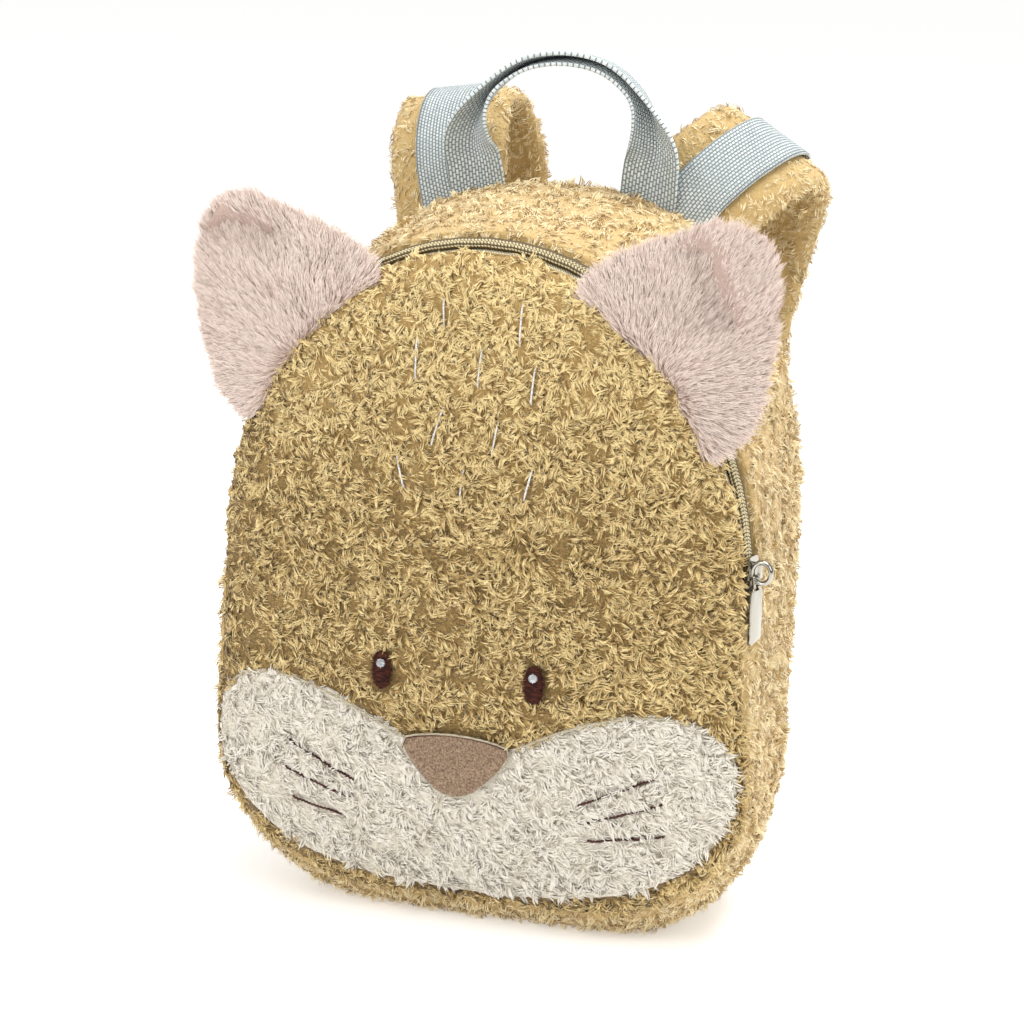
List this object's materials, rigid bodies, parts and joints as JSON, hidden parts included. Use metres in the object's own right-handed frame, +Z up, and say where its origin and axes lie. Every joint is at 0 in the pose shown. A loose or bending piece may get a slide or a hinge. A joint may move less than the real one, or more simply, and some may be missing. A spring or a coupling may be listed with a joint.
{
  "type": "kids animal backpack",
  "caption": "Small plush toddler's backpack with a cat face, fur ears, an arched zip, a webbing carry handle and padded shoulder straps.",
  "frame": {"origin": "middle of the base, on the floor that the bag stands on", "axes": "+Z up, the face looks along -Y, +X to the right of someone who looks at the face"},
  "size_m": [0.2554, 0.1896, 0.3602],
  "materials": {
    "sand_plush": "curly sand-coloured plush, short looped pile",
    "cream_plush": "curly cream plush, short looped pile",
    "ear_fur": "straight pale pink fake fur",
    "nose_velour": "short mauve-brown velour",
    "eye_thread": "dark brown satin stitch",
    "glint_thread": "grey satin stitch",
    "webbing": "grey-blue plain-woven cotton webbing",
    "zip_tape": "woven beige zip tape",
    "zip_coil": "nylon coil, semi-matt",
    "nickel": "polished nickel-plated zinc",
    "adjuster_plastic": "moulded grey plastic"
  },
  "bodies": {
    "bag": {"front_panel": "sand_plush", "muzzle_patch": "cream_plush", "back_panel": "sand_plush", "gusset": "sand_plush", "zip_tape_front": "zip_tape", "zip_tape_back": "zip_tape", "zip_chain": "zip_coil", "zip_slider": "nickel", "nose_patch": "nose_velour", "eye_left": "eye_thread", "eye_right": "eye_thread", "glint_left": "glint_thread", "glint_right": "glint_thread", "ear_left": "ear_fur", "ear_right": "ear_fur", "carry_handle": "webbing", "strap_left": "sand_plush", "strap_right": "sand_plush", "strap_webbing_left": "webbing", "strap_webbing_right": "webbing", "strap_tail_left": "webbing", "strap_tail_right": "webbing", "strap_adjuster_left": "adjuster_plastic", "strap_adjuster_right": "adjuster_plastic"},
    "pull_tab": {"zip_pull": "nickel"}
  },
  "joints": [
    {"name": "pull_hinge", "type": "hinge", "parent": "bag", "child": "pull_tab", "pos_m": [0.1186, -0.04154, 0.16342], "axis": [-0.1275, -0.9918, 0], "range_deg": [0, 150]}
  ]
}
